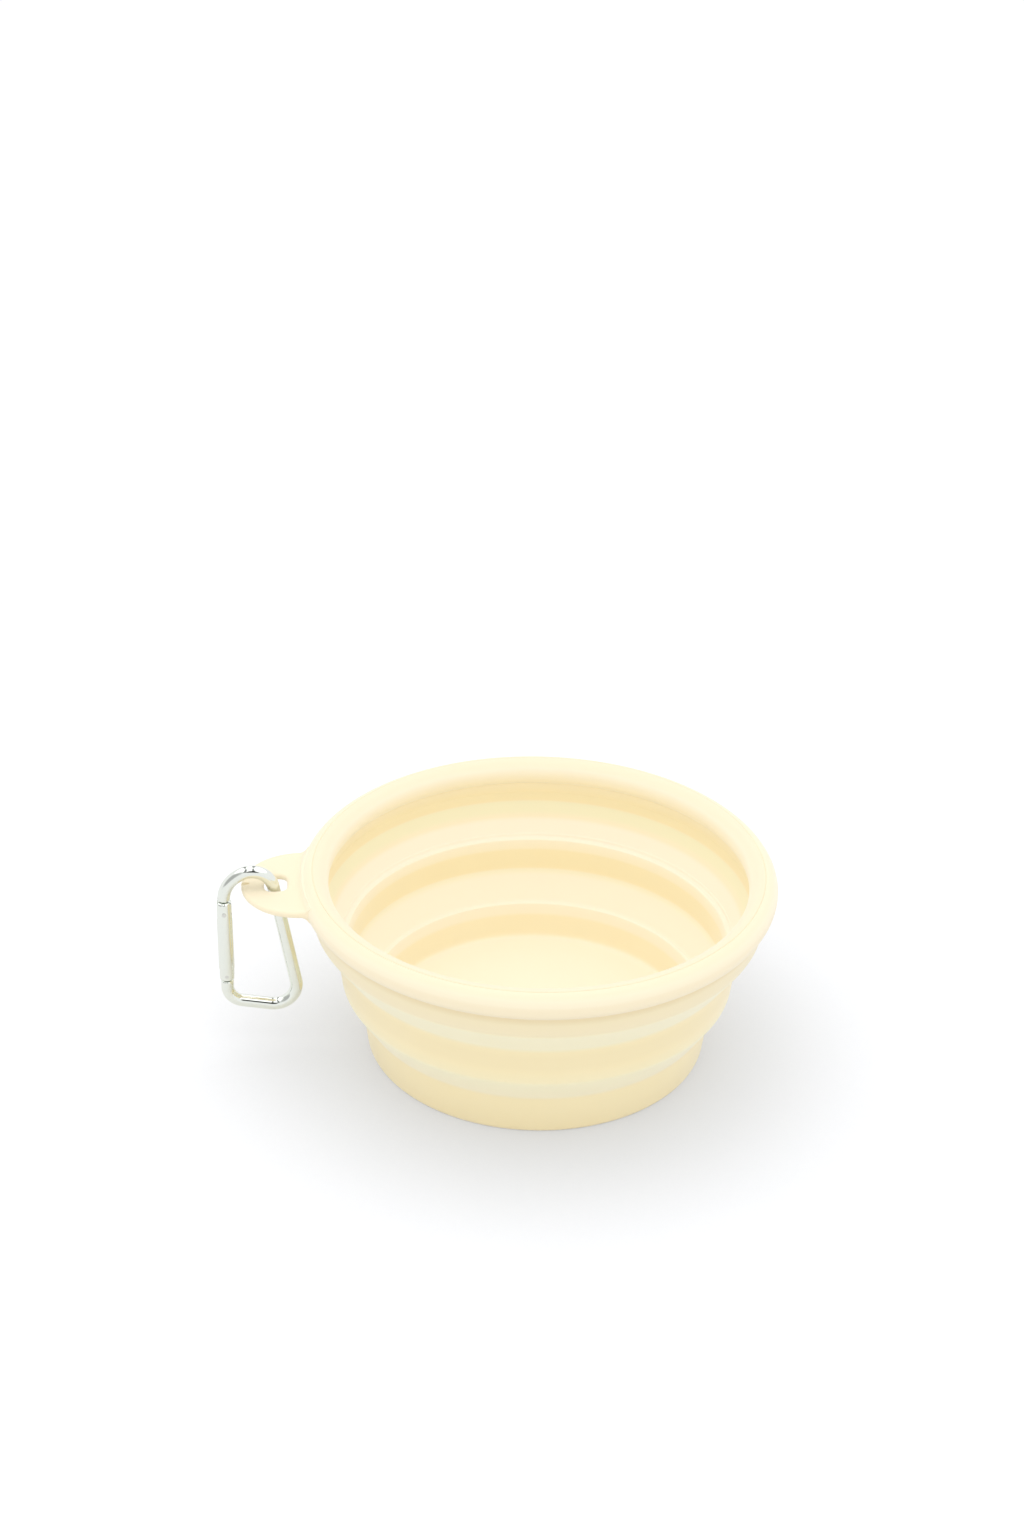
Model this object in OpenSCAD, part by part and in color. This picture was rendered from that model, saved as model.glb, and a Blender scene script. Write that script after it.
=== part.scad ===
// Collapsible silicone bowl with a stiff rim ring, a hanging tab and a small snap clip.
// Millimetres. The bowl stands on z = 0 with its axis on Z, and the tab points along -X.
// Three upright tiers are joined by two sloping bands. Each band turns inside out, so that
// a tier drops over the one below it.

/* [Base tier] */
// Outer radius of the foot
base_r = 47; // [44:0.5:49]
// Height of the base tier, outside
base_h = 12.1; // [9:0.1:16]
// How much wider the base tier is at its top than at the foot
base_flare = 1.6; // [0.6:0.1:2.4]
// Wall of the base tier
base_wall = 3.3; // [2.6:0.1:4]
// Thickness of the floor
floor_t = 3.6; // [2:0.1:4.5]
// Bevel round the foot
foot_bevel = 0.8; // [0.3:0.1:1.2]

/* [Lower band] */
// Height of the lower sloping band
lower_band_h = 8.1; // [6:0.1:9]
// Radial step of the lower sloping band
lower_band_step = 5.4; // [5:0.1:7]
// How far the inside creases lie above the outside ones
lower_crease_rise = 1.8; // [0.8:0.1:2.6]

/* [Middle tier] */
// Height of the middle tier, outside
middle_h = 11.8; // [10:0.1:18]
// How much wider the middle tier is at its top than at its bottom, outside
middle_flare = 1.4; // [0.4:0.1:1.8]
// Wall of the middle tier at its top; the inside runs straight down
middle_wall = 3.6; // [3:0.1:4]

/* [Upper band] */
// Height of the upper sloping band
upper_band_h = 8.4; // [7:0.1:10]
// Radial step of the upper sloping band
upper_band_step = 6.1; // [5.6:0.1:8]
// How far the inside creases lie above the outside ones
upper_crease_rise = 0.8; // [0.4:0.1:1.6]

/* [Rim] */
// Height of the upright wall under the lip, outside
rim_wall_h = 5.8; // [5:0.1:8]
// How much wider that wall is at the lip
rim_flare = 0.9; // [0.2:0.1:1.4]
// Thickness of that wall
rim_wall = 2.9; // [2.4:0.1:3.4]
// Radius of the rolled lip's section
lip_r = 3.9; // [3.5:0.05:4.4]
// How far the lip stands out past the wall
lip_overhang = 2.6; // [2:0.1:3.2]
// Height of the lip's centre above the wall's top
lip_rise = 4.2; // [3.6:0.1:4.4]
// Width of the stiff outer ring, measured from the lip's outside
ring_w = 3.5; // [3:0.1:3.8]
// Width of the groove between the soft lip and the ring
groove_w = 0.5; // [0.2:0.1:0.7]

/* [Tab] */
// Radius of the tab's round outline
tab_r = 16; // [15:0.5:18]
// How far the tab's tip stands out past the lip
tab_reach = 15.7; // [15:0.1:17.5]
// Thickness of the tab
tab_t = 1.8; // [1.6:0.1:2.2]
// Bevel round the tab's edge
tab_bevel = 0.7; // [0.6:0.05:0.8]
// Width of the oval hole for the clip, along the tab
hole_w = 6.2; // [6:0.1:6.6]
// Length of the hole, across the tab
hole_l = 8; // [7.8:0.1:9]
// Width of the bar between the hole and the tip
bar_w = 6.2; // [5.8:0.05:6.3]
// Bevel round the hole
hole_bevel = 0.5; // [0.4:0.05:0.6]

/* [Clip] */
// Diameter of the clip's rod
rod_d = 3.5; // [3.3:0.05:3.7]
// Centre-line radius of the narrow end, which goes round the bar
arc_r = 5.85; // [5.75:0.05:6.1]
// Centre-line radius of the shoulder above the gate
shoulder_r = 8.85; // [8:0.05:10]
// Angle at which the narrow end turns into the shoulder
shoulder_angle = 66.4; // [62:0.2:70]
// Slant of the spine
spine_slant = 10; // [8:0.1:12]
// Depth of the clip from the narrow end's centre to the bottom rod's centre line
clip_drop = 36.75; // [34:0.25:40]
// Corner radius at the foot of the spine
spine_corner_r = 6.25; // [5.4:0.05:7]
// Corner radius under the gate
gate_corner_r = 4.7; // [4:0.1:5.5]
// Slant of the bottom rod, which rises towards the gate
bottom_slant = 10; // [6:0.5:12]
// How far the narrow end's centre lies behind the tab's tip
arc_back = 2.9; // [2.8:0.05:3]
// How far the narrow end's centre lies below the tab's mid-plane
arc_sink = 0.3; // [0.1:0.05:0.5]
// How far the clip has slid to one side of the hole
clip_side = 1.7; // [0:0.1:1.9]

/* [Gate] */
// Diameter of the gate
gate_d = 4.3; // [4.1:0.05:4.5]
// Gap between the gate and the rod's ends
gate_gap = 0.3; // [0.2:0.05:0.4]
// Height of the rod's nose above the bottom corner
nose_h = 2.4; // [1.5:0.1:3]
// Depth of the hinge pin below the rod's upper end
hinge_drop = 3.6; // [3.2:0.05:4]
// Radius of the hinge pin
hinge_pin_r = 0.6; // [0.5:0.05:0.7]
// Radius of the latch pin
latch_pin_r = 0.5; // [0.4:0.05:0.6]
// Thickness of the rod's flat hinge tongue
tongue_t = 1.6; // [1.3:0.05:1.7]
// Thickness of the rod's latch hook
hook_t = 1.5; // [1.2:0.05:1.6]
// Height of the latch hook above the nose
hook_h = 3.4; // [3.2:0.1:3.8]
// Radius of the bore for the spring
bore_r = 1.2; // [1.1:0.05:1.3]
// Length of the gate spring
spring_len = 9; // [6:0.5:10]
// Diameter of the spring wire
spring_wire = 0.3; // [0.2:0.05:0.4]
// Turns of the gate spring
spring_turns = 9; // [6:1:11]
// Length of the plunger's body
plunger_len = 2; // [1.6:0.1:2.6]

/* [Hidden] */
$fn = 96;
// Overrun of every cut
cut = 1;
// Radial clearance of a pin that turns, and of the plunger in its bore
running_gap = 0.05;
// Clearance of the tongue and the hook in the gate's slots, on each side
slot_gap = 0.12;
// How far the tongue and the hook are rooted in the rod
root_depth = 1;
// Half width and depth of the tongue's flat end, below the hinge pin
cam_half_w = 1.3;
cam_depth = 1.7;
// Room under the tongue's end in the gate's upper slot
cam_room = 0.9;
// Gap between the rod and the gate's inner upper corner, which is rounded about the pin
turn_gap = 0.2;
// Radius of the plunger's tip, which goes between the gate's cheeks
tip_r = 0.75;
// Step from the upper slot's floor to the plunger's body
plunger_step = 0.2;
// Gap between the plunger's tip and the tongue
tip_gap = 0.05;
// Height of the latch pin above the nose
latch_rise = 2;
// Reach of the hook from the latch pin's centre towards the spine
hook_back = 1.3;
// Clearance of the latch pin in the hook's notch
notch_gap = 0.15;
// Room above the hook in the gate's lower slot
hook_room = 0.5;
// How far the hinge pin's heads stand out of the gate
pin_proud = 0.1;
// Gap between the spring and the bore's wall
spring_gap = 0.1;
// Sides of the rod, and the most that it turns from one ring to the next
rod_sides = 24;
bend_step = 9;
// Sides and rings per turn of the spring's wire
wire_sides = 6;
wire_rings = 8;

// Outside creases, from the foot up
z_base_top = base_h;
z_middle_bottom = z_base_top + lower_band_h;
z_middle_top = z_middle_bottom + middle_h;
z_rim_bottom = z_middle_top + upper_band_h;
z_rim_top = z_rim_bottom + rim_wall_h;
r_base_top = base_r + base_flare;
r_middle_bottom = r_base_top + lower_band_step;
r_middle_top = r_middle_bottom + middle_flare;
r_rim_bottom = r_middle_top + upper_band_step;
r_rim_top = r_rim_bottom + rim_flare;
r_middle_bore = r_middle_top - middle_wall;

outside = [[base_r - foot_bevel, 0], [base_r, foot_bevel], [r_base_top, z_base_top],
           [r_middle_bottom, z_middle_bottom], [r_middle_top, z_middle_top],
           [r_rim_bottom, z_rim_bottom], [r_rim_top, z_rim_top]];
inside = [[base_r - base_wall, floor_t],
          [r_base_top - base_wall, z_base_top + lower_crease_rise],
          [r_middle_bore, z_middle_bottom + lower_crease_rise],
          [r_middle_bore, z_middle_top + upper_crease_rise],
          [r_rim_bottom - rim_wall, z_rim_bottom + upper_crease_rise],
          [r_rim_top - rim_wall, z_rim_top]];

// Planes on which the wall's pieces meet, halfway between the creases
z_split_1 = z_base_top + lower_crease_rise / 2;
z_split_2 = z_middle_bottom + lower_crease_rise / 2;
z_split_3 = z_middle_top + upper_crease_rise / 2;
z_split_4 = z_rim_bottom + upper_crease_rise / 2;

// Lip, ring and tab
lip_outer_r = r_rim_top + lip_overhang;
lip_centre_r = lip_outer_r - lip_r;
lip_centre_z = z_rim_top + lip_rise;
seam_r = lip_outer_r - ring_w;
tab_tip_r = lip_outer_r + tab_reach;
tab_centre_r = tab_tip_r - tab_r;
hole_centre_r = tab_tip_r - bar_w - hole_w / 2;

// Narrow end's centre, about which the clip swings; the clip is drawn from there,
// with its first axis outwards and its second axis up
rod_r = rod_d / 2;
gate_r = gate_d / 2;
swing_r = tab_tip_r - arc_back;
swing_z = lip_centre_z - arc_sink;
shoulder_c = -(shoulder_r - arc_r) * [cos(shoulder_angle), sin(shoulder_angle)];
gate_u = shoulder_c.x + shoulder_r;
rod_end_v = shoulder_c.y;
hinge_v = rod_end_v - hinge_drop;
gate_end_r = hinge_drop - turn_gap;
spine_corner_v = spine_corner_r - clip_drop;
spine_corner_c = [(spine_corner_v * sin(spine_slant) - (arc_r - spine_corner_r))
                  / cos(spine_slant), spine_corner_v];
gate_corner_u = gate_u - gate_corner_r;
gate_corner_c = [gate_corner_u, spine_corner_v
                 + (gate_corner_r - spine_corner_r
                    + (gate_corner_u - spine_corner_c.x) * sin(bottom_slant))
                 / cos(bottom_slant)];
nose_v = gate_corner_c.y + nose_h;
latch_v = nose_v + latch_rise;
gate_bottom_v = nose_v + gate_gap;
gate_top_v = rod_end_v - gate_gap;
upper_slot_v = hinge_v - cam_depth - cam_room;
lower_slot_v = nose_v + hook_h + hook_room;
plunger_top_v = upper_slot_v - plunger_step;
spring_top_v = plunger_top_v - plunger_len;
spring_bottom_v = spring_top_v - spring_len;
spring_r = bore_r - spring_gap - spring_wire / 2;

// Radius of a line of creases at a height
function r_at(line, z) = lookup(z, [for (p = line) [p[1], p[0]]]);

// The creases of a line between two heights, with its ends cut on them
function cut_line(line, z_lo, z_hi) = concat(
    [[r_at(line, z_lo), z_lo]],
    [for (p = line) if (p[1] > z_lo && p[1] < z_hi) p],
    [[r_at(line, z_hi), z_hi]]);

function reversed(list) = [for (i = [len(list) - 1:-1:0]) list[i]];

// The bowl's wall between two heights
module wall_ring(z_lo, z_hi) {
    rotate_extrude()
        polygon(concat(cut_line(inside, z_lo, z_hi),
                       reversed(cut_line(outside, z_lo, z_hi))));
}

// Section of the rolled lip on its neck, with the groove cut in its top
module lip_section() {
    difference() {
        union() {
            translate([lip_centre_r, lip_centre_z])
                circle(r = lip_r);
            translate([r_rim_top - rim_wall, z_rim_top])
                square([rim_wall, lip_rise]);
        }
        translate([seam_r, lip_centre_z + lip_r])
            rotate(45)
                square(groove_w * sqrt(2), center = true);
    }
}

// Upright band of the section's plane between two radii, past the lip's height
module between(r_lo, r_hi) {
    translate([r_lo, 0])
        square([r_hi - r_lo, lip_centre_z + lip_r + cut]);
}

module tab_disc() {
    translate([-tab_centre_r, 0, lip_centre_z])
        rotate_extrude()
            polygon([[0, -tab_t / 2], [tab_r - tab_bevel, -tab_t / 2],
                     [tab_r, tab_bevel - tab_t / 2], [tab_r, tab_t / 2 - tab_bevel],
                     [tab_r - tab_bevel, tab_t / 2], [0, tab_t / 2]]);
}

// Half of the hole's section, with both rims bevelled
module hole_section() {
    reach = hole_w / 2;
    polygon([[0, -tab_t], [reach + hole_bevel, -tab_t],
             [reach + hole_bevel, -tab_t / 2], [reach, hole_bevel - tab_t / 2],
             [reach, tab_t / 2 - hole_bevel], [reach + hole_bevel, tab_t / 2],
             [reach + hole_bevel, tab_t], [0, tab_t]]);
}

// Oval hole: two round ends and the straight stretch between them
module tab_hole() {
    shift = (hole_l - hole_w) / 2;
    translate([-hole_centre_r, 0, lip_centre_z]) {
        for (side = [-1, 1])
            translate([0, side * shift, 0])
                rotate_extrude()
                    hole_section();
        rotate([90, 0, 0])
            linear_extrude(height = 2 * shift, center = true) {
                hole_section();
                mirror([1, 0, 0])
                    hole_section();
            }
    }
}

// Puts what is drawn in the clip's own plane on the tab
module on_tab() {
    translate([-swing_r, -clip_side, swing_z])
        rotate([90, 0, 180])
            children();
}

// Stations of the rod round a bend: a point on the centre line, and its angle there
function bend(centre, radius, from, to) =
    let (steps = ceil((to - from) / bend_step))
    [for (i = [0:steps])
     let (angle = from + (to - from) * i / steps)
     [centre + radius * [cos(angle), sin(angle)], angle]];

function without_first(list) = [for (i = [1:len(list) - 1]) list[i]];

// Faces of a closed tube, whose rings follow one another in its list of points
function tube_faces(rings, sides) = concat(
    [for (i = [0:rings - 2], k = [0:sides - 1])
     let (a = i * sides + k, b = i * sides + (k + 1) % sides)
     [a, b, b + sides]],
    [for (i = [0:rings - 2], k = [0:sides - 1])
     let (a = i * sides + k, b = i * sides + (k + 1) % sides)
     [a, b + sides, a + sides]],
    [[for (k = [sides - 1:-1:0]) k]],
    [[for (k = [0:sides - 1]) (rings - 1) * sides + k]]);

// The bent rod, from the gate's upper end round the narrow end to the nose
module bent_rod() {
    stations = concat(
        bend(shoulder_c, shoulder_r, 0, shoulder_angle),
        without_first(bend([0, 0], arc_r, shoulder_angle, 180 - spine_slant)),
        bend(spine_corner_c, spine_corner_r, 180 - spine_slant, 270 + bottom_slant),
        bend(gate_corner_c, gate_corner_r, 270 + bottom_slant, 360),
        [[[gate_u, nose_v], 360]]);
    polyhedron(
        points = [for (s = stations, k = [0:rod_sides - 1])
                  let (side = 360 * k / rod_sides,
                       p = s[0] + rod_r * cos(side) * [cos(s[1]), sin(s[1])])
                  [p.x, p.y, rod_r * sin(side)]],
        faces = tube_faces(len(stations), rod_sides));
}

// Pin or hole through the clip's plane
module cross_pin(centre, radius, length) {
    translate(centre)
        cylinder(h = length, r = radius, center = true);
}

// Flat piece of the clip's plane
module plate(thickness) {
    linear_extrude(height = thickness, center = true)
        children();
}

// Round bar or bore along the gate
module along_gate(from_v, to_v, radius) {
    translate([gate_u, from_v])
        rotate([-90, 0, 0])
            cylinder(h = to_v - from_v, r = radius);
}

module base_cup() {
    color("#fbf1cf")
        rotate_extrude()
            polygon(concat([[0, floor_t]], cut_line(inside, floor_t, z_split_1),
                           reversed(cut_line(outside, 0, z_split_1)), [[0, 0]]));
}

module lower_fold_band() {
    color("#fff3cd")
        wall_ring(z_split_1, z_split_2);
}

module middle_tier() {
    color("#f8e9c4")
        wall_ring(z_split_2, z_split_3);
}

module upper_fold_band() {
    color("#fff3cd")
        wall_ring(z_split_3, z_split_4);
}

module upper_wall() {
    color("#f8e9c4")
        wall_ring(z_split_4, z_rim_top);
}

module rim_lip() {
    color("#fef7db")
        rotate_extrude()
            intersection() {
                lip_section();
                between(lip_centre_r - lip_r - cut, seam_r);
            }
}

module tab_ring() {
    color("#fdf5d6")
        difference() {
            union() {
                rotate_extrude()
                    intersection() {
                        lip_section();
                        between(seam_r, lip_outer_r + cut);
                    }
                difference() {
                    tab_disc();
                    translate([0, 0, lip_centre_z - tab_t])
                        cylinder(h = 2 * tab_t, r = seam_r + ring_w / 4);
                }
            }
            tab_hole();
        }
}

// Hinge tongue: flat, with a narrow end that the plunger presses on
module hinge_tongue() {
    plate(tongue_t)
        translate([gate_u, hinge_v])
            polygon([[-cam_half_w, -cam_depth], [cam_half_w, -cam_depth],
                     [rod_r - slot_gap, -cam_depth / 3],
                     [rod_r - slot_gap, hinge_drop + root_depth],
                     [slot_gap - rod_r, hinge_drop + root_depth],
                     [slot_gap - rod_r, -cam_depth / 3]]);
}

// Latch hook: its notch is open towards the spine, the way the gate swings
module latch_hook() {
    notch_r = latch_pin_r + notch_gap;
    plate(hook_t)
        difference() {
            translate([gate_u - hook_back, nose_v - root_depth])
                square([hook_back + rod_r - 2 * slot_gap, root_depth + hook_h]);
            translate([gate_u, latch_v])
                circle(r = notch_r);
            translate([gate_u - gate_r, latch_v - notch_r])
                square([gate_r, 2 * notch_r]);
        }
}

module clip_body() {
    color("#e4e4e0")
        on_tab()
            difference() {
                union() {
                    bent_rod();
                    hinge_tongue();
                    latch_hook();
                }
                cross_pin([gate_u, hinge_v], hinge_pin_r + running_gap, rod_d);
            }
}

module hinge_pin() {
    color("#c9c9c6")
        on_tab()
            cross_pin([gate_u, hinge_v], hinge_pin_r, gate_d + 2 * pin_proud);
}

// Corner that is cut off the gate's top on the spine's side, round the pin
module gate_corner_cut() {
    plate(gate_d + cut)
        difference() {
            translate([gate_u - gate_d, hinge_v])
                square([gate_d, hinge_drop]);
            translate([gate_u, hinge_v])
                circle(r = gate_end_r);
        }
}

// Slot across the gate between two heights, open on the spine's side and outside
module gate_slot(from_v, to_v, width) {
    plate(width)
        translate([gate_u - gate_d, from_v])
            square([2 * gate_d, to_v - from_v]);
}

module clip_gate() {
    color("#eaeae6")
        on_tab()
            difference() {
                along_gate(gate_bottom_v, gate_top_v, gate_r);
                gate_corner_cut();
                gate_slot(upper_slot_v, gate_top_v + cut, tongue_t + 2 * slot_gap);
                gate_slot(gate_bottom_v - cut, lower_slot_v, hook_t + 2 * slot_gap);
                along_gate(spring_bottom_v, upper_slot_v + plunger_step, bore_r);
                cross_pin([gate_u, hinge_v], hinge_pin_r, gate_d + cut);
                cross_pin([gate_u, latch_v], latch_pin_r, gate_d + cut);
            }
}

module latch_pin() {
    color("#c9c9c6")
        on_tab()
            cross_pin([gate_u, latch_v], latch_pin_r, gate_d);
}

module spring_plunger() {
    body_r = bore_r - running_gap;
    tip_v = hinge_v - cam_depth - tip_gap;
    color("#b8b8b5")
        on_tab()
            translate([gate_u, 0])
                rotate([-90, 0, 0])
                    rotate_extrude()
                        polygon([[0, spring_top_v], [body_r, spring_top_v],
                                 [body_r, plunger_top_v], [tip_r, plunger_top_v],
                                 [tip_r, tip_v], [0, tip_v]]);
}

// Point of the spring's wire, at a share of its length and an angle round the wire
function wire_point(along_share, side) =
    let (turn = 360 * spring_turns * along_share,
         rise = spring_wire / 2 + (spring_len - spring_wire) * along_share,
         reach = spring_r + spring_wire / 2 * cos(side))
    [reach * cos(turn), reach * sin(turn), rise + spring_wire / 2 * sin(side)];

module gate_spring() {
    steps = spring_turns * wire_rings;
    color("#b0b0ad")
        on_tab()
            translate([gate_u, spring_bottom_v])
                rotate([-90, 0, 0])
                    polyhedron(
                        points = [for (i = [0:steps], k = [0:wire_sides - 1])
                                  wire_point(i / steps, 360 * k / wire_sides)],
                        faces = tube_faces(steps + 1, wire_sides));
}

base_cup();
lower_fold_band();
middle_tier();
upper_fold_band();
upper_wall();
rim_lip();
tab_ring();
clip_body();
hinge_pin();
clip_gate();
latch_pin();
spring_plunger();
gate_spring();
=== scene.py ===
"""Collapsible silicone bowl with a holed tab and a snap clip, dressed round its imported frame.

The bowl's axis is Z and the tab points along -X. Sizes are millimetres until a mesh is made.
"""

from __future__ import annotations

import logging
from dataclasses import dataclass
from enum import Enum
from math import cos, degrees, radians, sin, sqrt
from typing import ClassVar

import bmesh
import bpy
import numpy as np
from mathutils import Matrix, Vector

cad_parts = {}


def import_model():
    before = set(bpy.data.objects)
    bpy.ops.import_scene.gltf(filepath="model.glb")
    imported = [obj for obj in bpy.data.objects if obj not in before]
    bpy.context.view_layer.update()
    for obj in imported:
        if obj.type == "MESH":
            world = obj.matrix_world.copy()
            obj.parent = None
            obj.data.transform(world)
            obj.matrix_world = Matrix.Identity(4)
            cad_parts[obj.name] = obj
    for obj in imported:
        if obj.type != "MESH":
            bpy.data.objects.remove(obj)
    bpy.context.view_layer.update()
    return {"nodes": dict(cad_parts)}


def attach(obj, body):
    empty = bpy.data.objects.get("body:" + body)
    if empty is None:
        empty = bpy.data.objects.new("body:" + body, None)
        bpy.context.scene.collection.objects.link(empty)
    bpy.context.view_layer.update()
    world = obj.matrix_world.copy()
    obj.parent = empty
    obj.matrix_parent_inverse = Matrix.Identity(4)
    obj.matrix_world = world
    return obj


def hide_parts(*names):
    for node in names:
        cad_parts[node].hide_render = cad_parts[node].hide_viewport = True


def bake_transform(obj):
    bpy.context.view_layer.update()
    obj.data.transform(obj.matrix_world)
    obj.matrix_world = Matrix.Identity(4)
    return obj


LOG = logging.getLogger("bowl")
MM = 0.001
SMOOTH_BELOW = radians(35)  # edges that turn by less are shaded smooth
SIDE_SHARE = 0.49  # most of a line's side that the rounding of one corner takes

Triple = tuple[float, float, float]
Colour = tuple[float, float, float, float]
Levels = tuple[tuple[float, ...], tuple[float, ...]]


class Body(Enum):
    """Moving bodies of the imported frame."""

    BASE = "base"
    MIDDLE = "middle"
    RIM = "rim"
    CLIP = "clip"
    GATE = "gate"
    PLUNGER = "plunger"


class Slot(Enum):
    """Material slots of the record."""

    SILICONE = "silicone"
    RIM = "rim_plastic"
    ALUMINIUM = "aluminium"
    STEEL = "steel"


# ---- surfaces


def linear(hex_colour: str) -> Colour:
    """Turns an sRGB hex value into a linear colour.

    Args:
        hex_colour: six hex digits after a hash sign.

    Returns:
        Linear red, green and blue, with an alpha of 1.
    """
    channels = [int(hex_colour[i : i + 2], 16) / 255 for i in (1, 3, 5)]
    r, g, b = (c / 12.92 if c <= 0.04045 else ((c + 0.055) / 1.055) ** 2.4 for c in channels)
    return (r, g, b, 1.0)


def eased_corners(corners: np.ndarray, reach: np.ndarray, steps: int = 7) -> np.ndarray:
    """Rounds the corners of an open line with short parabolas.

    Each corner P becomes (1-s)^2 A + 2s(1-s) P + s^2 B, where A and B lie on the two
    sides at the corner's reach, so the line stays tangent to its sides.

    Args:
        corners: points of the line, one row each.
        reach: how far each corner's rounding runs along its sides; 0 keeps it sharp.
        steps: points per rounded corner.

    Returns:
        The rounded line, with no point twice.
    """
    before = np.roll(corners, 1, axis=0) - corners
    after = np.roll(corners, -1, axis=0) - corners
    before[0] = after[0] * 0
    after[-1] = after[-1] * 0
    length_b = np.maximum(np.linalg.norm(before, axis=1, keepdims=True), 1e-9)
    length_a = np.maximum(np.linalg.norm(after, axis=1, keepdims=True), 1e-9)
    reach = np.asarray(reach, float)[:, None]
    a = corners + before / length_b * np.minimum(reach, SIDE_SHARE * length_b)
    b = corners + after / length_a * np.minimum(reach, SIDE_SHARE * length_a)
    s = np.linspace(0, 1, steps)[None, :, None]
    arcs = (1 - s) ** 2 * a[:, None] + 2 * s * (1 - s) * corners[:, None] + s**2 * b[:, None]
    line = arcs.reshape(-1, corners.shape[1])
    keep = np.r_[True, np.linalg.norm(np.diff(line, axis=0), axis=1) > 1e-4]
    return line[keep]


def divided(line: np.ndarray, step: float) -> np.ndarray:
    """Adds points so that no stretch of an open line is longer than a step.

    Args:
        line: points of the line.
        step: longest stretch allowed.

    Returns:
        The line with evenly spaced points added on its long stretches.
    """
    lengths = np.linalg.norm(np.diff(line, axis=0), axis=1)
    counts = np.maximum(np.ceil(lengths / step).astype(int), 1)
    start = np.repeat(np.arange(len(counts)), counts)
    share = (np.arange(counts.sum()) - np.repeat(np.cumsum(counts) - counts, counts)) / counts[start]
    points = line[start] * (1 - share)[:, None] + line[start + 1] * share[:, None]
    return np.vstack([points, line[-1:]])


def grid_faces(rows: int, columns: int, close_rows: bool, close_columns: bool) -> np.ndarray:
    """Quads of a grid of points, row after row.

    Args:
        rows: number of rows.
        columns: points in a row.
        close_rows: joins the last row to the first.
        close_columns: joins each row's last point to its first.

    Returns:
        One row of four point numbers per quad.
    """
    i = np.arange(rows if close_rows else rows - 1)[:, None]
    j = np.arange(columns if close_columns else columns - 1)[None, :]
    i2, j2 = (i + 1) % rows, (j + 1) % columns
    quads = np.stack([i * columns + j, i * columns + j2, i2 * columns + j2, i2 * columns + j], -1)
    return quads.reshape(-1, 4)


def arc_points(
    centre: tuple[float, float], radius: float, start: float, end: float, steps: int
) -> np.ndarray:
    """Points on an arc: centre + radius (cos t, sin t), with t in degrees.

    Args:
        centre: centre of the arc.
        radius: its radius.
        start: angle of the first point.
        end: angle of the last point.
        steps: number of stretches between them.

    Returns:
        The points, first and last included.
    """
    t = np.radians(np.linspace(start, end, steps + 1))
    return np.stack([centre[0] + radius * np.cos(t), centre[1] + radius * np.sin(t)], -1)


def add_object(name: str, data: bpy.types.ID) -> bpy.types.Object:
    """Adds an object to the scene.

    Args:
        name: its name.
        data: its mesh, camera or light.

    Returns:
        The object, at the origin.
    """
    added = bpy.data.objects.new(name, data)
    bpy.context.scene.collection.objects.link(added)
    return added


class Shape:
    """A mesh being made: points in millimetres and faces, then one Blender object."""

    def __init__(self, name: str) -> None:
        """Starts an empty shape.

        Args:
            name: the piece's name.
        """
        self.name = name
        self.points: list[np.ndarray] = []
        self.faces: list[list[int]] = []
        self.count = 0

    def add(self, points: np.ndarray, faces: np.ndarray | list[list[int]]) -> None:
        """Adds points, and the faces between them.

        Args:
            points: one row of x, y and z per point.
            faces: point numbers of each face, counted within these points.
        """
        self.points.append(np.asarray(points, float))
        self.faces += [[int(k) + self.count for k in f] for f in faces]
        self.count += len(points)

    def revolve(self, profile: np.ndarray, segments: int, closed: bool = True) -> None:
        """Turns a profile of radius and height round the bowl's axis.

        A point (r, z) at the angle t goes to (r cos t, r sin t, z).

        Args:
            profile: the profile's points.
            segments: steps round the axis.
            closed: joins the profile's last point to its first.
        """
        t = np.linspace(0, 2 * np.pi, segments, endpoint=False)[None, :]
        r, z = profile[:, :1], profile[:, 1:]
        grid = np.stack([r * np.cos(t), r * np.sin(t), z + 0 * t], -1)
        self.add(grid.reshape(-1, 3), grid_faces(len(profile), segments, closed, True))

    def finish(self) -> bpy.types.Object:
        """Makes the Blender object, with its poles merged and its faces pointing outwards.

        Returns:
            The object, at the origin.
        """
        mesh = bpy.data.meshes.new(self.name)
        mesh.from_pydata((np.vstack(self.points) * MM).tolist(), [], self.faces)
        work = bmesh.new()
        work.from_mesh(mesh)
        bmesh.ops.remove_doubles(work, verts=work.verts, dist=1e-7)
        bmesh.ops.recalc_face_normals(work, faces=work.faces)
        work.to_mesh(mesh)
        work.free()
        mesh.polygons.foreach_set("use_smooth", np.ones(len(mesh.polygons), bool))
        mesh.set_sharp_from_angle(angle=SMOOTH_BELOW)
        mesh.update()
        return add_object(self.name, mesh)


def coordinates(piece: bpy.types.Object) -> np.ndarray:
    """Reads the points of a piece's mesh.

    Args:
        piece: the piece.

    Returns:
        One row of x, y and z in millimetres per point.
    """
    flat = np.empty(3 * len(piece.data.vertices))
    piece.data.vertices.foreach_get("co", flat)
    return flat.reshape(-1, 3) / MM


# ---- materials


class Mark(Enum):
    """Numbers that a piece carries at its points, which paint light and shade into its silicone and mark its
    thinned folds.
    """

    # painted light: paler where light falls most
    PAINTED_LIGHT = "painted_light"
    # paler along the folds: partly the silicone thinned there, partly a painted highlight on the fold edges
    THIN = "drawn_thin_and_painted_highlight"
    # grey painted shade on the lip's crest and the outer wall under the lip
    PAINTED_GREY_SHADE = "painted_grey_shade"
    # brown painted shade under the lip, on the middle tier and at the foot
    PAINTED_BROWN_SHADE = "painted_brown_shade"


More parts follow.
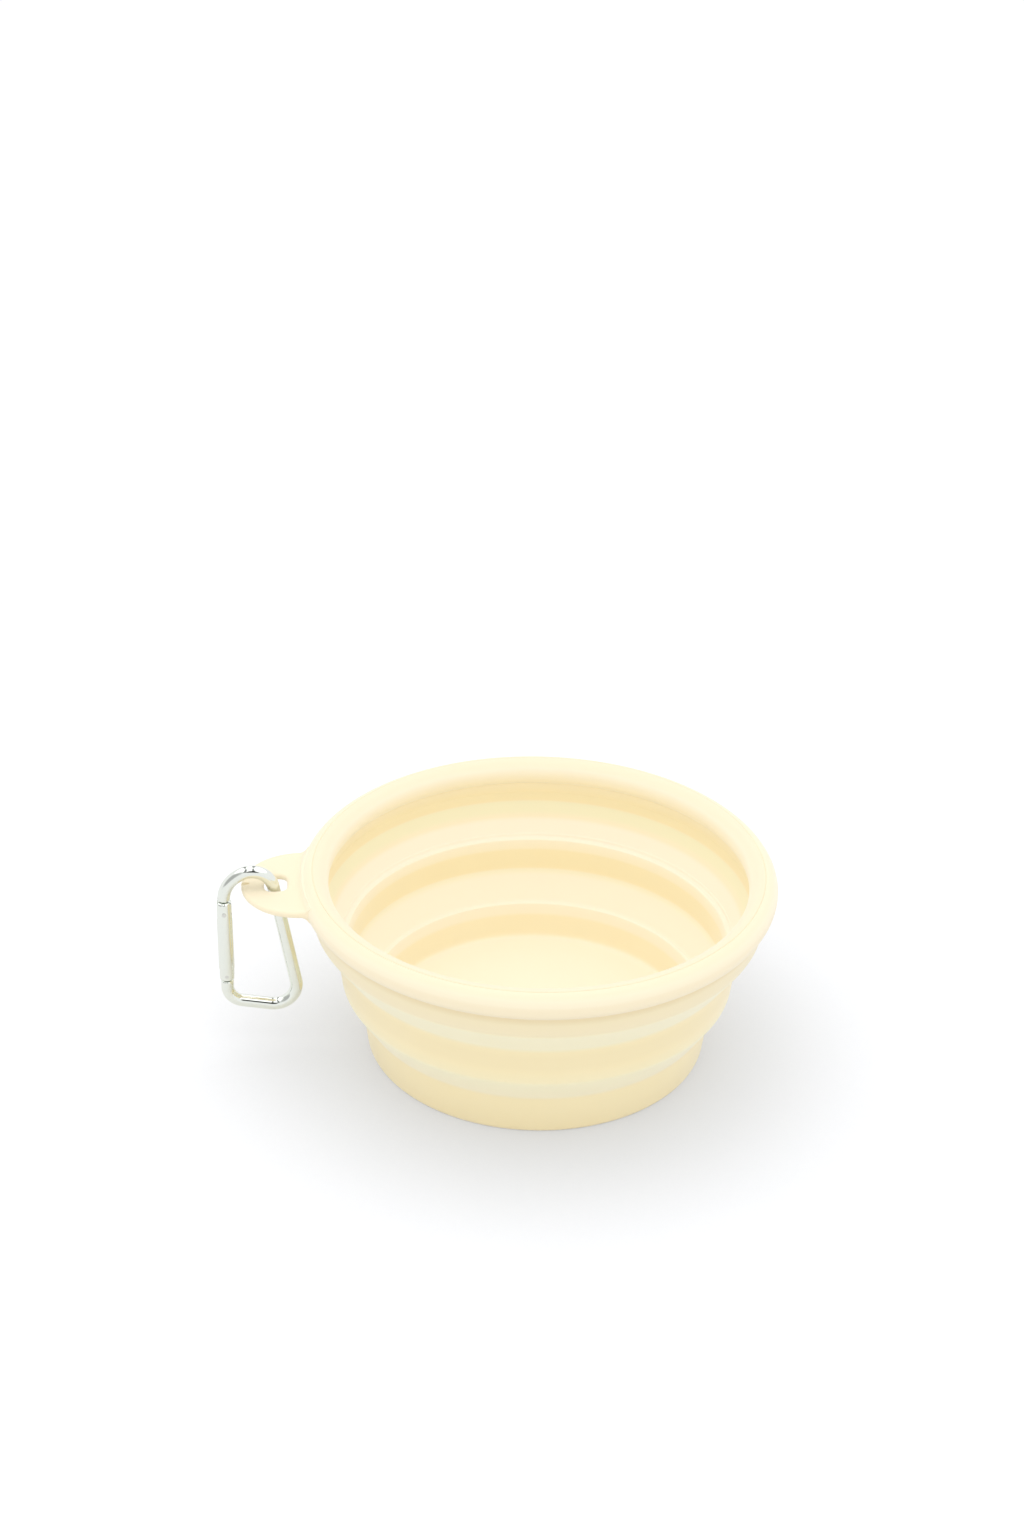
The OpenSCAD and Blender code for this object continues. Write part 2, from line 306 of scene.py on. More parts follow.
def write_mark(piece: bpy.types.Object, mark: Mark, values: np.ndarray) -> None:
    """Writes a mark on a piece, for its material.

    Args:
        piece: the piece.
        mark: which mark.
        values: one number for each point, from 0 to 1.
    """
    layer = piece.data.attributes.new(mark.value, "FLOAT", "POINT")
    layer.data.foreach_set("value", values.astype(np.float32))


def add_node(
    tree: bpy.types.NodeTree, kind: str, sockets: dict[str | int, object] | None = None, **settings: object
) -> bpy.types.Node:
    """Adds a node, sets its properties, and sets or links its inputs.

    Args:
        tree: the node tree.
        kind: the node's type name.
        sockets: input name or number, to a value or to an output socket.
        **settings: properties of the node.

    Returns:
        The node.
    """
    node = tree.nodes.new(kind)
    for name, value in settings.items():
        setattr(node, name, value)
    for key, value in (sockets or {}).items():
        if isinstance(value, bpy.types.NodeSocket):
            tree.links.new(value, node.inputs[key])
        else:
            node.inputs[key].default_value = value
    return node


def empty_tree(owner: bpy.types.Material | bpy.types.World) -> bpy.types.NodeTree:
    """Gives a material or a world an empty node tree.

    Args:
        owner: the material or world.

    Returns:
        Its node tree.
    """
    owner.use_nodes = True
    owner.node_tree.nodes.clear()
    return owner.node_tree


@dataclass(frozen=True)
class Finish:
    """A surface whose roughness follows a soft cloud, with a fine grain that stands up.

    Attributes:
        name: the material's name.
        colour: its colour as a hex value.
        rough: least and most roughness.
        cloud: the cloud's size in millimetres, its detail and its roughness.
        grain: the same of the grain.
        grain_height_mm: height of the grain.
        grain_strength: how much of the grain shows.
    """

    name: str
    colour: str
    rough: tuple[float, float]
    cloud: Triple
    grain: Triple
    grain_height_mm: float
    grain_strength: float

    def body(self, tree: bpy.types.NodeTree, cloud: bpy.types.NodeSocket) -> dict[str, object]:
        """Shader inputs of the material itself.

        Args:
            tree: the material's node tree.
            cloud: the cloud's level.

        Returns:
            Values and sockets by input name.
        """
        raise NotImplementedError

    def build(self) -> bpy.types.Material:
        """Builds the material's nodes.

        Returns:
            The material.
        """
        material = bpy.data.materials.new(self.name)
        tree = empty_tree(material)
        place = add_node(tree, "ShaderNodeTexCoord").outputs["Object"]
        sizes = [
            {"Vector": place, "Scale": 1 / (size * MM), "Detail": detail, "Roughness": roughness}
            for size, detail, roughness in (self.cloud, self.grain)
        ]
        cloud, grain = (add_node(tree, "ShaderNodeTexNoise", size).outputs["Fac"] for size in sizes)
        least, most = self.rough
        rough = add_node(tree, "ShaderNodeMapRange", {"Value": cloud, "To Min": least, "To Max": most})
        raised = {"Strength": self.grain_strength, "Distance": self.grain_height_mm * MM, "Height": grain}
        bump = add_node(tree, "ShaderNodeBump", raised)
        relief = {"Roughness": rough.outputs["Result"], "Normal": bump.outputs["Normal"]}
        shader = add_node(tree, "ShaderNodeBsdfPrincipled", {**relief, **self.body(tree, cloud)})
        add_node(tree, "ShaderNodeOutputMaterial", {"Surface": shader.outputs["BSDF"]})
        return material


@dataclass(frozen=True)
class MouldedSilicone(Finish):
    """Compression-moulded silicone rubber.

    It is matt and slightly dusty, with one broad soft highlight, a faint cloudiness in
    the body and a fine eggshell texture from the blasted mould. Its colour has painted
    light: it is paler where light falls most, and paler along the folds, partly because
    the silicone is thinned there and partly as a painted highlight. Grey painted shade
    darkens the crest and the outer wall under the lip, and brown painted shade lies
    under the lip, on the middle tier and at the foot.
    """

    name: str = "moulded silicone, cream"
    colour: str = "#FBEDC3"
    rough: tuple[float, float] = (0.44, 0.52)
    cloud: Triple = (16.0, 3.0, 0.5)
    grain: Triple = (0.7, 4.0, 0.6)  # coarser than the mould's real 0.1 mm grain, so that it shows
    grain_height_mm: float = 0.012
    grain_strength: float = 0.6
    deep: str = "#FBEBBD"
    # colour of the painted light
    painted_light_tone: str = "#FEF6E2"
    # colour of the thinned folds, partly a painted highlight
    thin_and_highlight_tone: str = "#F9F2CF"
    # colour of the grey painted shade
    grey_shade_tone: str = "#F0E5C9"
    # colour of the brown painted shade
    brown_shade_tone: str = "#E6D3A8"
    ior: float = 1.44
    sheen: float = 0.45
    sheen_roughness: float = 0.5

    def body(self, tree: bpy.types.NodeTree, cloud: bpy.types.NodeSocket) -> dict[str, object]:
        """Shader inputs of the silicone: clouded and marked colour, and sheen.

        Args:
            tree: the material's node tree.
            cloud: the cloud's level.

        Returns:
            Values and sockets by input name.
        """
        # the marks paint light and shade into the colour: painted light, thinned folds with a painted
        # highlight, grey and brown painted shade
        tones = {Mark.PAINTED_LIGHT: self.painted_light_tone, Mark.THIN: self.thin_and_highlight_tone, Mark.PAINTED_GREY_SHADE: self.grey_shade_tone, Mark.PAINTED_BROWN_SHADE: self.brown_shade_tone}
        shares = [(cloud, self.colour)]
        for mark, tone in tones.items():
            share = add_node(tree, "ShaderNodeAttribute", attribute_name=mark.value).outputs["Fac"]
            shares.append((share, tone))
        colour = linear(self.deep)
        for share, tone in shares:
            mix = add_node(tree, "ShaderNodeMix", {0: share, 6: colour, 7: linear(tone)}, data_type="RGBA")
            colour = mix.outputs[2]
        sheen = {"Sheen Weight": self.sheen, "Sheen Roughness": self.sheen_roughness}
        return {"Base Color": colour, "IOR": self.ior, **sheen}


@dataclass(frozen=True)
class PolishedMetal(Finish):
    """Drawn metal wire, tumbled to a polish.

    It mirrors its surroundings, softened by very fine draw lines and by a faint haze
    where hands have touched it.
    """

    cloud: Triple = (2.5, 3.0, 0.5)
    grain: Triple = (0.35, 2.0, 0.5)  # coarser than real draw lines, so that they show
    grain_height_mm: float = 0.0015
    grain_strength: float = 0.5

    def body(self, tree: bpy.types.NodeTree, cloud: bpy.types.NodeSocket) -> dict[str, object]:
        """Shader inputs of the metal."""
        return {"Base Color": linear(self.colour), "Metallic": 1.0}


SILICONE = MouldedSilicone()
RIM_PLASTIC = MouldedSilicone(
    name="moulded rim ring, cream, matched to the silicone",
    colour="#FBEECF",
    deep="#FAECCB",
    # the ring's colour where light is painted on
    painted_light_tone="#FEF6DC",
    rough=(0.46, 0.54),
    ior=1.47,
    grain_height_mm=0.008,
)
ALUMINIUM = PolishedMetal("polished aluminium", "#EBEFE9", (0.049, 0.105))
STEEL = PolishedMetal("plain steel", "#DADBD7", (0.14, 0.3))


def dress(piece: bpy.types.Object, body: Body, slot: Slot, material: bpy.types.Material, *nodes: str) -> None:
    """Gives a new piece its material and its body, and hides the frame nodes that it replaces.

    Args:
        piece: the new piece.
        body: the body that it rides on.
        slot: not used.
        material: its material.
        *nodes: frame nodes that it stands for.
    """
    piece.data.materials.append(material)
    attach(piece, body.value)
    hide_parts(*nodes)
    LOG.info("%s: %d points, on %s", piece.name, len(piece.data.vertices), body.value)


# ---- bowl


@dataclass
class BowlWall:
    """The bowl's wall: three upright tiers, two sloping bands and the lip."""

    # Each mark outside and inside the wall: heights, and how strong it is there
    MARKS: ClassVar[dict[Mark, tuple[Levels, Levels]]] = {
        # thinned folds: paler partly for real, partly as a painted highlight on the fold edges
        Mark.THIN: (
            (
                (11.6, 13.0, 17.0, 20.2, 21.0, 24.5, 31.2, 32.8, 40.0, 40.8),
                (0.0, 0.6, 0.9, 1.0, 0.4, 0.0, 0.0, 1.0, 1.0, 0.0),
            ),
            ((20.5, 21.6, 22.4, 37.6, 38.8, 41.0, 41.5), (0.0, 0.5, 0.0, 0.0, 1.0, 1.0, 0.0)),
        ),
        # painted light: paler on the parts that face the light, outside and inside
        Mark.PAINTED_LIGHT: (
            ((11.6, 12.8, 17.0, 19.8, 46.0, 49.0, 52.0, 54.3), (0.0, 0.5, 0.5, 0.0, 0.0, 0.5, 0.6, 0.3)),
            (
                (3.5, 4.4, 9.8, 10.8, 13.4, 13.9, 21.9, 22.5, 28.4, 29.1, 31.4, 32.0)
                + (36.4, 37.4, 41.0, 41.6, 43.5, 46.0, 47.5, 49.0, 52.5, 54.3),
                (1.0, 0.4, 0.4, 0.9, 1.0, 1.0, 0.9, 0.2, 0.2, 0.6, 0.8, 1.0)
                + (0.95, 0.5, 0.5, 0.0, 0.05, 0.4, 0.6, 0.6, 0.8, 0.3),
            ),
        ),
        # grey painted shade: darkens the crest, which takes the most light from above, and the outer wall
        # under the lip
        Mark.PAINTED_GREY_SHADE: (
            ((40.2, 40.9, 41.2, 45.0, 47.0, 52.6, 53.8), (0.0, 0.6, 0.5, 0.4, 0.0, 0.0, 0.5)),
            ((52.6, 53.8), (0.0, 0.5)),
        ),
        # brown painted shade: the shadow line under the lip, and darker at the foot and on the middle tier
        Mark.PAINTED_BROWN_SHADE: (
            (
                (0.0, 5.0, 9.0, 24.0, 26.0, 29.5, 31.4, 44.2, 45.9, 46.9, 49.0),
                (0.15, 0.1, 0.0, 0.0, 0.12, 0.12, 0.0, 0.0, 0.55, 0.45, 0.0),
            ),
            ((0.0,), (0.0,)),
        ),
    }

    base_r: float = 47.0
    base_h: float = 12.1
    base_flare: float = 1.6
    base_wall: float = 3.3
    floor_t: float = 3.6
    floor_round: float = 1.6
    foot_round: float = 1.2
    lower_band_h: float = 8.1
    lower_band_step: float = 5.4
    lower_crease_rise: float = 1.8
    middle_h: float = 11.8
    middle_flare: float = 1.4
    middle_wall: float = 3.6
    upper_band_h: float = 8.4
    upper_band_step: float = 6.1
    upper_crease_rise: float = 0.8
    rim_wall_h: float = 5.8
    rim_flare: float = 0.9
    rim_wall: float = 2.9
    lip_r: float = 3.9
    lip_overhang: float = 2.6
    lip_rise: float = 4.2
    ring_w: float = 3.5
    groove_w: float = 0.14
    groove_depth: float = 0.168
    crease_round: float = 1.0
    ledge_w: float = 1.1
    ledge_rise: float = 0.3
    shoulder_w: float = 0.5
    shoulder_h: float = 3.3
    ridge_round: Triple = (0.8, 0.3, 0.35)
    step_z: float = 43.4
    step_w: float = 0.15
    step_h: float = 0.25
    step_round: float = 0.1
    neck_round: float = 0.9
    cap_h: float = 0.9
    finest: float = 0.5
    coarsest: float = 2.0
    segments: int = 288

    def __post_init__(self) -> None:
        """Works out the creases, the parting planes and the rounded lines of the wall."""
        self.silicone = SILICONE.build()
        self.plastic = RIM_PLASTIC.build()
        z = np.cumsum([self.base_h, self.lower_band_h, self.middle_h, self.upper_band_h, self.rim_wall_h])
        r = self.base_r + np.cumsum(
            [self.base_flare, self.lower_band_step, self.middle_flare, self.upper_band_step, self.rim_flare]
        )
        self.z_rim_top, self.r_rim_top = z[4], r[4]
        bore = r[2] - self.middle_wall
        low, high = self.lower_crease_rise, self.upper_crease_rise
        outside = np.vstack([[self.base_r, 0.0], np.stack([r, z], -1)])
        neck_r = r[4] - self.rim_wall
        inside = np.array(
            [
                [self.base_r - self.base_wall, self.floor_t],
                *self.ridge(r[0] - self.base_wall, z[0] + low),
                [bore, z[1] + low],
                *self.ridge(bore, z[2]),
                [r[3] - self.rim_wall, z[3] + high],
                [neck_r - self.step_w, self.step_z],
                [neck_r, self.step_z + self.step_h],
                [neck_r, z[4]],
            ]
        )
        soft, ridge, small = self.crease_round, self.ridge_round, self.step_round
        self.outside = eased_corners(outside, np.array([0, soft, soft, soft, soft, 0]))
        self.inside = eased_corners(inside, np.array([0, *ridge, soft, *ridge, soft, small, small, 0]))
        self.splits = (z[0] + low / 2, z[1] + low / 2, z[2] + high / 2, z[3] + high / 2)
        self.lip_outer_r = self.r_rim_top + self.lip_overhang
        self.lip_c = (self.lip_outer_r - self.lip_r, self.z_rim_top + self.lip_rise)
        self.seam_r = self.lip_outer_r - self.ring_w

    def ridge(self, r: float, z: float) -> list[list[float]]:
        """Corners of a raised fold edge: a sloping shoulder, then a narrow ledge facing up.

        Args:
            r: radius of the wall under the edge.
            z: height of the edge.

        Returns:
            The corners, from the bottom up.
        """
        edge = r + self.shoulder_w
        return [
            [r, z - self.shoulder_h],
            [edge, z - self.ledge_rise],
            [edge + self.ledge_w, z],
        ]

    @staticmethod
    def stretch(line: np.ndarray, z_lo: float, z_hi: float) -> np.ndarray:
        """Part of a rising line between two heights, with its ends cut on them.

        Args:
            line: points of radius and height.
            z_lo: lower height.
            z_hi: upper height.

        Returns:
            The part's points, from the bottom up.
        """
        inner = line[(line[:, 1] > z_lo + 1e-3) & (line[:, 1] < z_hi - 1e-3)]
        ends = [[np.interp(h, line[:, 1], line[:, 0]), h] for h in (z_lo, z_hi)]
        return np.vstack([ends[:1], inner, ends[1:]])

    @staticmethod
    def cap(start: np.ndarray, end: np.ndarray, height: float) -> np.ndarray:
        """Half ellipse that closes a wall's end, leaving out its two end points.

        A point at the angle t lies at the middle + half width (-cos t) + height (sin t).

        Args:
            start: end of the line that comes first.
            end: start of the line that follows.
            height: rise of the cap, below zero for one that hangs down.

        Returns:
            The cap's points.
        """
        t = np.linspace(0, np.pi, 13)[1:-1, None]
        return (start + end) / 2 + (start - end) / 2 * np.cos(t) + np.array([[0.0, height]]) * np.sin(t)

    def ring_profile(self, z_lo: float, z_hi: float, cap_h: float) -> np.ndarray:
        """Closed profile of the wall between two heights.

        Args:
            z_lo: lower height.
            z_hi: upper height.
            cap_h: how far its two ends are rounded out.

        Returns:
            The profile, up the inside and down the outside.
        """
        inside = divided(self.stretch(self.inside, z_lo, z_hi), self.finest)
        outside = divided(self.stretch(self.outside, z_lo, z_hi), self.finest)[::-1]
        top = self.cap(inside[-1], outside[0], cap_h)
        return np.vstack([inside, top, outside, self.cap(outside[-1], inside[0], -cap_h)])

    def mark(self, piece: bpy.types.Object) -> None:
        """Marks painted light, thinned folds and grey and brown painted shade on the silicone.

        Each mark is a line of straight stretches by height, one for each side of the wall,
        and a point is on the outside when its radius is over the wall's middle.

        Args:
            piece: the piece to mark.
        """
        place = coordinates(piece)
        r, z = np.hypot(place[:, 0], place[:, 1]), place[:, 2]
        middle = sum(np.interp(z, line[:, 1], line[:, 0]) for line in (self.inside, self.outside)) / 2
        for mark, (outer, inner) in self.MARKS.items():
            write_mark(piece, mark, np.where(r > middle, np.interp(z, *outer), np.interp(z, *inner)))

    def turned(self, name: str, profile: np.ndarray, closed: bool = True) -> bpy.types.Object:
        """Turns a profile of the wall round the axis, and marks its silicone.

        Args:
            name: the piece's name.
            profile: points of radius and height.
            closed: joins the profile's last point to its first.

        Returns:
            The piece.
        """
        shape = Shape(name)
        shape.revolve(profile, self.segments, closed)
        piece = shape.finish()
        self.mark(piece)
        return piece

    def make_base(self) -> None:
        """Makes the base tier with its floor."""
        inside = self.stretch(self.inside, self.floor_t, self.splits[0])
        outside = self.stretch(self.outside, 0.0, self.splits[0])
        floor = np.array([[0.0, self.floor_t], inside[0], inside[1]])
        foot = np.array([outside[1], outside[0], [0.0, 0.0]])
        floor = eased_corners(floor, np.array([0, self.floor_round, 0]))
        foot = eased_corners(foot, np.array([0, self.foot_round, 0]))
        up = divided(np.vstack([floor, inside[2:]]), self.coarsest)
        down = divided(np.vstack([outside[:1:-1], foot]), self.coarsest)
        profile = np.vstack([up, self.cap(up[-1], down[0], self.cap_h), down])
        piece = self.turned("base_cup_moulding", profile, closed=False)
        dress(piece, Body.BASE, Slot.SILICONE, self.silicone, "base_cup")

    def make_middle(self) -> None:
        """Makes the middle tier, with both ends rounded inside the bands."""
        profile = self.ring_profile(self.splits[1], self.splits[2], self.cap_h)
        piece = self.turned("middle_tier_moulding", profile)
        dress(piece, Body.MIDDLE, Slot.SILICONE, self.silicone, "middle_tier")

    def make_band(self, name: str, node: str, lower: Body, upper: Body, z_lo: float, z_hi: float) -> None:
        """Makes a sloping band between two tiers.

        Args:
            name: the piece's name.
            node: the frame node that it replaces.
            lower: body at its lower edge.
            upper: body at its upper edge.
            z_lo: height of its lower edge.
            z_hi: height of its upper edge.
        """
        piece = self.turned(name, self.ring_profile(z_lo, z_hi, 0.0))
        piece.data.materials.append(self.silicone)
        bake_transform(piece)
        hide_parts(node)
        LOG.info("%s: %d points, %s to %s", name, len(piece.data.vertices), lower.value, upper.value)

    def lip_arc(self, start: float, end: float, steps: int) -> np.ndarray:
        """Arc of the rolled lip's section between two angles."""
        return arc_points(self.lip_c, self.lip_r, start, end, steps)

    def lip_angle(self, r: float) -> float:
        """Angle on the lip's section, over its middle, at a radius from the bowl's axis."""
        return degrees(np.arccos((r - self.lip_c[0]) / self.lip_r))

    def seam_foot(self) -> float:
        """Height of the bottom of the lip's fine seam groove."""
        half = sqrt(self.lip_r**2 - (self.seam_r - self.lip_c[0]) ** 2)
        return self.lip_c[1] + half - self.groove_depth

    def make_lip(self) -> None:
        """Makes the soft inner half of the lip with the upright wall under it."""
        wall_in = self.stretch(self.inside, self.splits[3], self.z_rim_top)
        wall_out = self.stretch(self.outside, self.splits[3], self.z_rim_top)[::-1]
        neck = 360 - self.lip_angle(self.r_rim_top - self.rim_wall)
        roll = self.lip_arc(neck, self.lip_angle(self.seam_r - self.groove_w), 40)
        soft = self.neck_round
        join = eased_corners(np.vstack([wall_in[-2:], roll[:3]]), np.array([0, soft, soft, 0, 0]))
        edge = np.array([[self.seam_r, self.seam_foot()], [self.seam_r, self.z_rim_top]])
        profile = divided(np.vstack([wall_in[:-2], join, roll[3:], edge, wall_out]), self.finest)
        profile = np.vstack([profile, self.cap(profile[-1], profile[0], -self.cap_h)])
        piece = self.turned("soft_lip_moulding", profile)
        dress(piece, Body.RIM, Slot.SILICONE, self.silicone, "rim_lip", "upper_wall")

    def ring_section(self) -> np.ndarray:
        """Closed section of the stiff outer ring, from its foot up the seam and over.

        Returns:
            Points of radius and height.
        """
        low, inner = self.z_rim_top, self.seam_r
        foot = [[self.r_rim_top, low], [inner, low], [inner, self.seam_foot()]]
        roll = self.lip_arc(self.lip_angle(inner + self.groove_w), -self.lip_angle(self.r_rim_top), 36)
        return np.vstack([foot, roll])

    def build(self) -> None:
        """Builds every piece of the wall."""
        s = self.splits
        self.make_base()
        self.make_band("lower_band_moulding", "lower_fold_band", Body.BASE, Body.MIDDLE, s[0], s[1])
        self.make_middle()
        self.make_band("upper_band_moulding", "upper_fold_band", Body.MIDDLE, Body.RIM, s[2], s[3])
        self.make_lip()


@dataclass
class TabRing:
    """The stiff outer ring of the lip, with the flat holed tab."""

    # Heights, and how much painted light lies on the ring there: it is painted paler where light falls most
    PAINTED_LIGHT: ClassVar[Levels] = ((50.5, 51.6, 52.9, 53.7), (0.0, 0.45, 0.45, 0.0))

    wall: BowlWall
    tab_r: float = 16.0
    tab_reach: float = 15.7
    tab_t: float = 1.8
    hole_w: float = 6.2
    hole_l: float = 8.0
    hole_power: float = 3.0
    bar_w: float = 6.2
    edge_r: float = 0.85
    root_fillet: float = 2.0
    root_sink: float = 0.5
    side_fillet: float = 1.2
    side_sink: float = 2.4
    ring_overlap: float = 1.0
    farthest: float = 30.0
    trials: int = 1201
    # width over which the ring's painted light fades out at its outer edge
    painted_light_edge: float = 0.2
    root_share: float = 0.98  # of a root fillet's quarter circle, so that it never stands upright
    side_share: float = 0.999
    face_share: float = 0.9  # of the tab's half thickness, from where the root fillet lifts it
    smoothed: int = 5
    segments: int = 240

    def __post_init__(self) -> None:
        """Works out the places of the tab's outline and hole."""
        self.tip_r = self.wall.lip_outer_r + self.tab_reach
        self.centre_r = self.tip_r - self.tab_r
        self.hole_c = self.tip_r - self.bar_w - self.hole_w / 2
        self.inner_r = self.wall.seam_r + self.ring_overlap

    def half_width(self, r: np.ndarray) -> np.ndarray:
        """Half width of the tab at a distance along it.

        It is the disc sqrt(R^2 - (r - c)^2), and near the lip it flares with a quarter
        circle so that the side runs into the ring.

        Args:
            r: distances from the bowl's axis along the tab.

        Returns:
            Half widths.
        """
        disc = np.sqrt(np.maximum(self.tab_r**2 - np.maximum(r - self.centre_r, 0) ** 2, 0))
        f = self.side_fillet
        x = np.clip((self.wall.lip_outer_r - self.side_sink + f - r) / f, 0, 1)
        return disc + f * (1 - np.sqrt(1 - self.side_share * x**2))

    def outline(self, phi: np.ndarray) -> np.ndarray:
        """Distance from the hole's centre to the tab's outer edge, at an angle round the hole.

        Args:
            phi: angles, 0 towards the tip.

        Returns:
            Distances.
        """
        reach = np.linspace(0, self.farthest, self.trials)[:, None]
        r = self.hole_c + reach * np.cos(phi)[None, :]
        a = np.abs(reach * np.sin(phi)[None, :])
        out = (a > self.half_width(r)) | (np.hypot(r, a) < self.inner_r)
        return reach[np.argmax(out, axis=0), 0]

    def build(self) -> None:
        """Builds the ring and the tab as one piece.

        The tab is a grid: the angle phi goes round the hole, and the second parameter runs
        over the top from the hole's rounded edge to the outer one and back underneath. The
        hole is the oval |x/a|^n + |y/b|^n = 1.
        """
        shape = Shape("stiff_ring_and_tab")
        shape.revolve(self.wall.ring_section(), self.wall.segments)
        phi = np.linspace(0, 2 * np.pi, self.segments, endpoint=False)
        far, ends = self.outline(phi), self.smoothed // 2
        kernel = np.ones(self.smoothed) / self.smoothed
        far = np.convolve(np.r_[far[-ends:], far, far[:ends]], kernel, mode="valid")
        n = self.hole_power
        along, over = np.abs(np.cos(phi)) * 2 / self.hole_w, np.abs(np.sin(phi)) * 2 / self.hole_l
        near = (along**n + over**n) ** (-1 / n) + self.edge_r
        outer, half, level = far - self.edge_r, self.tab_t / 2, 0 * phi
        turn = np.radians(np.linspace(-90, 90, 11))
        across = np.linspace(0, 1, 25)[1:-1]
        rows = [(near - self.edge_r * np.cos(t), half * np.sin(t) + level) for t in turn]
        rows += [(near + k * (outer - near), half + level) for k in across]
        rows += [(outer + self.edge_r * np.cos(t), half * np.sin(t) + level) for t in turn[::-1]]
        rows += [(near + k * (outer - near), level - half) for k in across[::-1]]
        distance, height = (np.array(part) for part in zip(*rows))
        r, a, f = self.hole_c + distance * np.cos(phi), distance * np.sin(phi), self.root_fillet
        x = np.clip((self.wall.lip_outer_r - self.root_sink + f - np.hypot(r, a)) / f, 0, 1)
        rise = f * (1 - np.sqrt(1 - self.root_share * x**2)) * (np.abs(height) > self.face_share * half)
        height = height + np.sign(height) * rise
        grid = np.stack([-r, a, height + self.wall.lip_c[1]], -1)
        shape.add(grid.reshape(-1, 3), grid_faces(len(rows), len(phi), True, True))
        piece = shape.finish()
        x, y, z = coordinates(piece).T
        on_ring = np.clip((self.wall.lip_outer_r - np.hypot(x, y)) / self.painted_light_edge, 0, 1)
        # painted light on the ring, fading out at its outer edge
        write_mark(piece, Mark.PAINTED_LIGHT, np.interp(z, *self.PAINTED_LIGHT) * on_ring)
        # brown painted shade under the lip, on the ring as on the wall
        write_mark(piece, Mark.PAINTED_BROWN_SHADE, np.interp(z, *self.wall.MARKS[Mark.PAINTED_BROWN_SHADE][0]))
        dress(piece, Body.RIM, Slot.RIM, self.wall.plastic, "tab_ring")


# ---- clip


